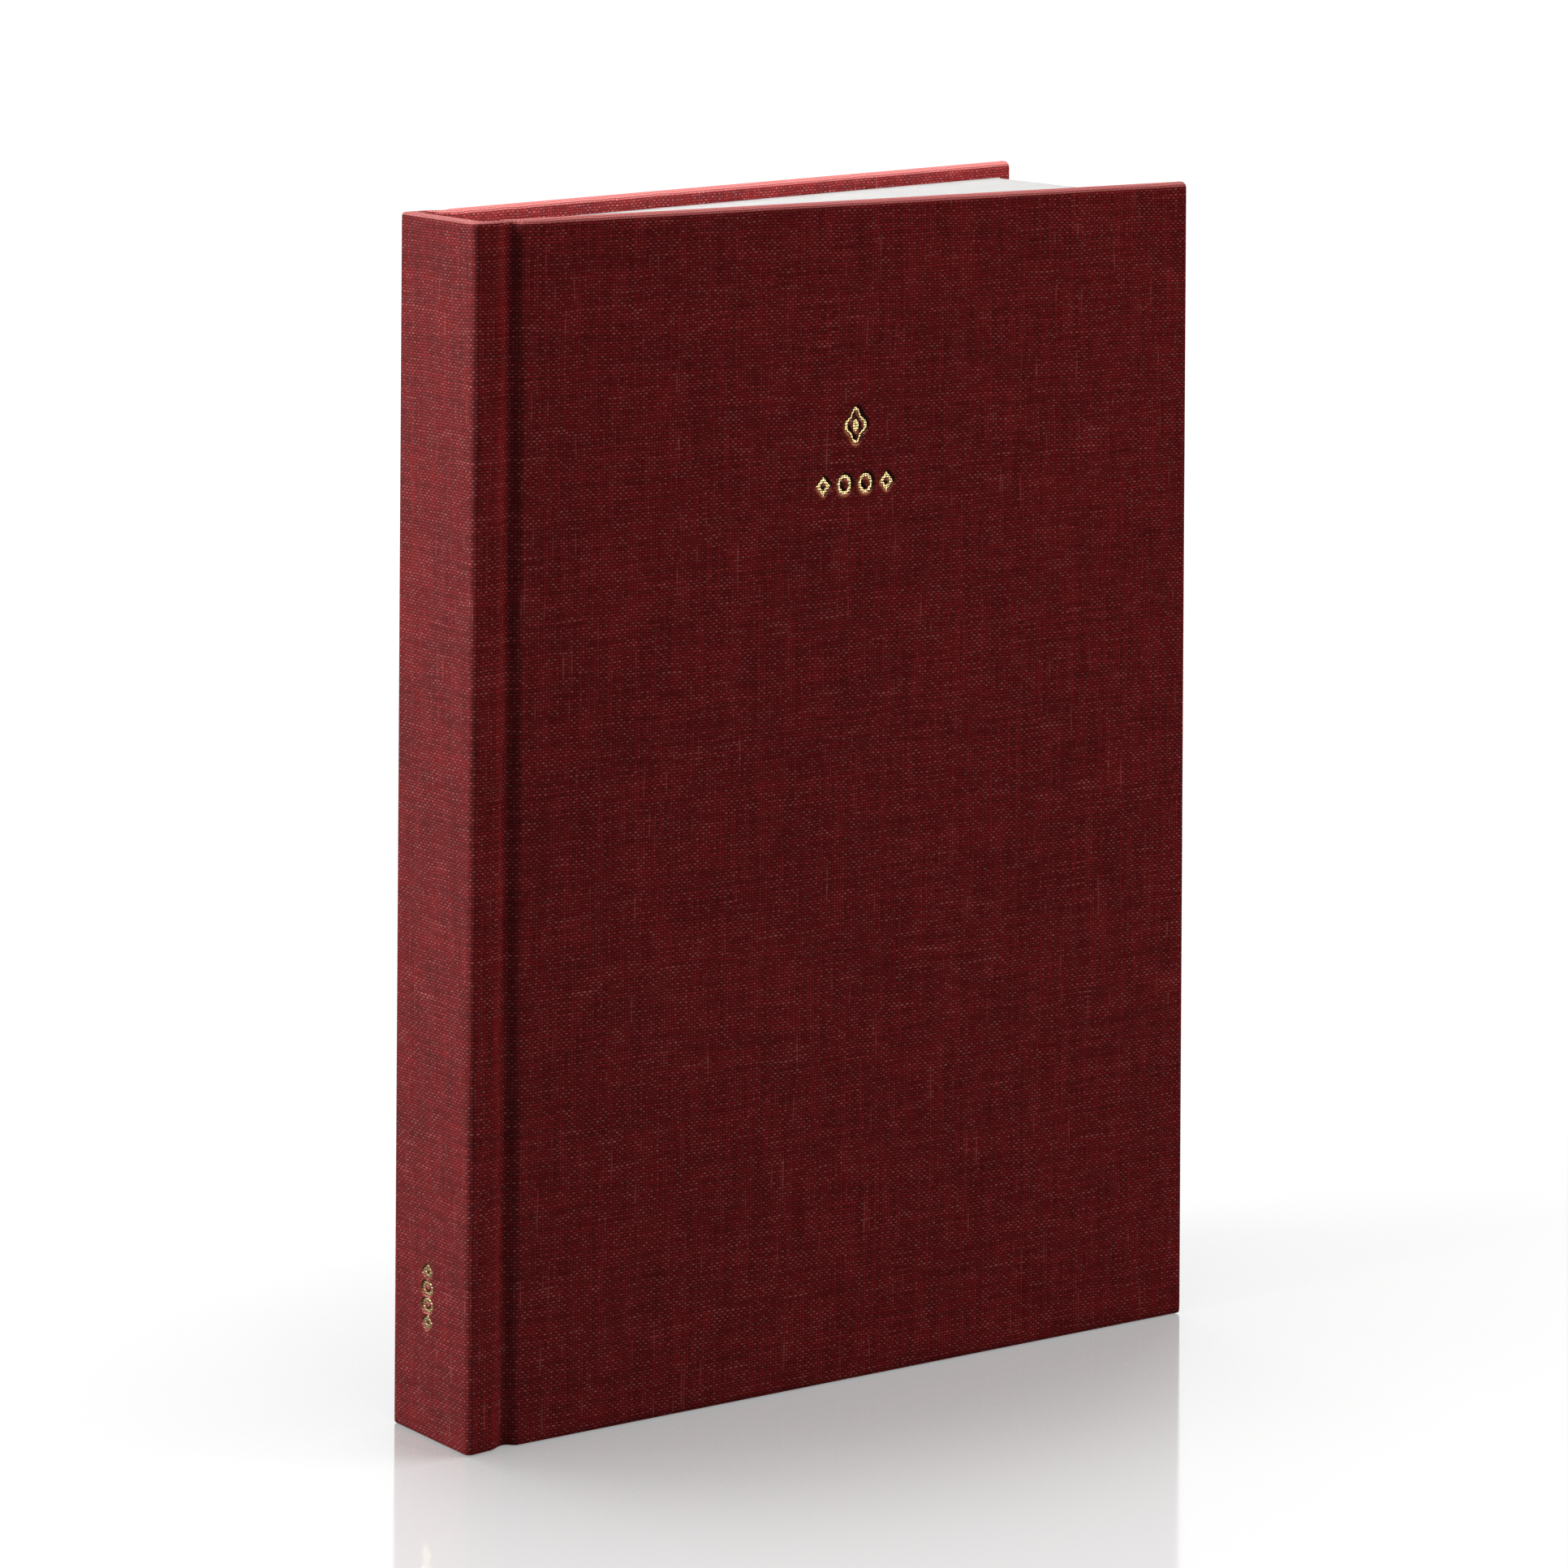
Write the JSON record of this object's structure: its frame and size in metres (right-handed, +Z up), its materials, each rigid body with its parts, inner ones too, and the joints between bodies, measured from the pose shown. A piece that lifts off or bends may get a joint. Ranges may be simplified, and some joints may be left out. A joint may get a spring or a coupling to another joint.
{
  "type": "prayer book",
  "caption": "Upright clothbound prayer book with a flat spine, grooved joints, gold-stamped cover, and covers and page sections that open.",
  "frame": {"origin": "the middle of the spine board's tail end, on the plane the book stands on", "axes": "+Z up along the spine from tail to head; +X from the spine to the fore-edge; the front cover is on the -Y side and the back cover on the +Y side"},
  "size_m": [0.1551, 0.0548, 0.216],
  "materials": {
    "bookcloth": "burgundy plain-weave book cloth, matt",
    "greyboard": "uncoated binder's board",
    "page_paper": "uncoated white book paper",
    "kraft_paper": "kraft lining paper",
    "mull_gauze": "open starched gauze",
    "band_silk": "woven band, slight sheen",
    "linen_thread": "waxed sewing thread",
    "gold_foil": "hot-stamped gold foil"
  },
  "bodies": {
    "spine": {"spine_board": "greyboard", "spine_cloth": "bookcloth", "spine_liner": "kraft_paper", "mull": "mull_gauze", "headband": "band_silk", "tailband": "band_silk", "kettle_stitch_head": "linen_thread", "kettle_stitch_tail": "linen_thread", "link_stitch_1": "linen_thread", "link_stitch_2": "linen_thread", "link_stitch_3": "linen_thread", "spine_foil_1": "gold_foil", "spine_foil_2": "gold_foil", "spine_foil_3": "gold_foil", "spine_foil_4": "gold_foil"},
    "front_cover": {"front_board": "greyboard", "front_cover_cloth": "bookcloth", "front_pastedown": "page_paper", "front_mull_flange": "mull_gauze", "emblem_foil": "gold_foil", "emblem_core_foil": "gold_foil", "cover_foil_1": "gold_foil", "cover_foil_2": "gold_foil", "cover_foil_3": "gold_foil", "cover_foil_4": "gold_foil"},
    "back_cover": {"back_board": "greyboard", "back_cover_cloth": "bookcloth", "back_pastedown": "page_paper", "back_mull_flange": "mull_gauze"},
    "section_01_pages": {"section_01": "page_paper"},
    "section_02_pages": {"section_02": "page_paper"},
    "section_03_pages": {"section_03": "page_paper"},
    "section_04_pages": {"section_04": "page_paper"},
    "section_05_pages": {"section_05": "page_paper"},
    "section_06_pages": {"section_06": "page_paper"},
    "section_07_pages": {"section_07": "page_paper"},
    "section_08_pages": {"section_08": "page_paper"},
    "section_09_pages": {"section_09": "page_paper"},
    "section_10_pages": {"section_10": "page_paper"},
    "front_endleaf": {"front_flyleaf": "page_paper"},
    "back_endleaf": {"back_flyleaf": "page_paper"}
  },
  "joints": [
    {"name": "front_cover_hinge", "type": "hinge", "parent": "spine", "child": "front_cover", "pos_m": [0.0045, -0.0088, 0.108], "axis": [0, 0, -1], "range_deg": [-6, 84]},
    {"name": "back_cover_hinge", "type": "hinge", "parent": "spine", "child": "back_cover", "pos_m": [0.0045, 0.0088, 0.108], "axis": [0, 0, 1], "range_deg": [-6, 84]},
    {"name": "section_01_fold", "type": "hinge", "parent": "spine", "child": "section_01_pages", "pos_m": [0.00465, -0.00765, 0.108], "axis": [0, 0, -1], "range_deg": [-5.4, 75.6]},
    {"name": "section_02_fold", "type": "hinge", "parent": "spine", "child": "section_02_pages", "pos_m": [0.00465, -0.00595, 0.108], "axis": [0, 0, -1], "range_deg": [-4.2, 58.8]},
    {"name": "section_03_fold", "type": "hinge", "parent": "spine", "child": "section_03_pages", "pos_m": [0.00465, -0.00425, 0.108], "axis": [0, 0, -1], "range_deg": [-3, 42]},
    {"name": "section_04_fold", "type": "hinge", "parent": "spine", "child": "section_04_pages", "pos_m": [0.00465, -0.00255, 0.108], "axis": [0, 0, -1], "range_deg": [-1.8, 25.2]},
    {"name": "section_05_fold", "type": "hinge", "parent": "spine", "child": "section_05_pages", "pos_m": [0.00465, -0.00085, 0.108], "axis": [0, 0, -1], "range_deg": [-0.6, 8.4]},
    {"name": "section_06_fold", "type": "hinge", "parent": "spine", "child": "section_06_pages", "pos_m": [0.00465, 0.00085, 0.108], "axis": [0, 0, 1], "range_deg": [-0.6, 8.4]},
    {"name": "section_07_fold", "type": "hinge", "parent": "spine", "child": "section_07_pages", "pos_m": [0.00465, 0.00255, 0.108], "axis": [0, 0, 1], "range_deg": [-1.8, 25.2]},
    {"name": "section_08_fold", "type": "hinge", "parent": "spine", "child": "section_08_pages", "pos_m": [0.00465, 0.00425, 0.108], "axis": [0, 0, 1], "range_deg": [-3, 42]},
    {"name": "section_09_fold", "type": "hinge", "parent": "spine", "child": "section_09_pages", "pos_m": [0.00465, 0.00595, 0.108], "axis": [0, 0, 1], "range_deg": [-4.2, 58.8]},
    {"name": "section_10_fold", "type": "hinge", "parent": "spine", "child": "section_10_pages", "pos_m": [0.00465, 0.00765, 0.108], "axis": [0, 0, 1], "range_deg": [-5.4, 75.6]},
    {"name": "front_flyleaf_fold", "type": "hinge", "parent": "spine", "child": "front_endleaf", "pos_m": [0.00475, -0.0086, 0.108], "axis": [0, 0, -1], "range_deg": [-5.88, 82.32]},
    {"name": "back_flyleaf_fold", "type": "hinge", "parent": "spine", "child": "back_endleaf", "pos_m": [0.00475, 0.0086, 0.108], "axis": [0, 0, 1], "range_deg": [-5.88, 82.32]}
  ],
  "couplings": [
    {"joint": "section_01_fold", "follows": "front_cover_hinge", "ratio": 0.9},
    {"joint": "section_02_fold", "follows": "front_cover_hinge", "ratio": 0.7},
    {"joint": "section_03_fold", "follows": "front_cover_hinge", "ratio": 0.5},
    {"joint": "section_04_fold", "follows": "front_cover_hinge", "ratio": 0.3},
    {"joint": "section_05_fold", "follows": "front_cover_hinge", "ratio": 0.1},
    {"joint": "section_06_fold", "follows": "back_cover_hinge", "ratio": 0.1},
    {"joint": "section_07_fold", "follows": "back_cover_hinge", "ratio": 0.3},
    {"joint": "section_08_fold", "follows": "back_cover_hinge", "ratio": 0.5},
    {"joint": "section_09_fold", "follows": "back_cover_hinge", "ratio": 0.7},
    {"joint": "section_10_fold", "follows": "back_cover_hinge", "ratio": 0.9},
    {"joint": "front_flyleaf_fold", "follows": "front_cover_hinge", "ratio": 0.98},
    {"joint": "back_flyleaf_fold", "follows": "back_cover_hinge", "ratio": 0.98}
  ]
}
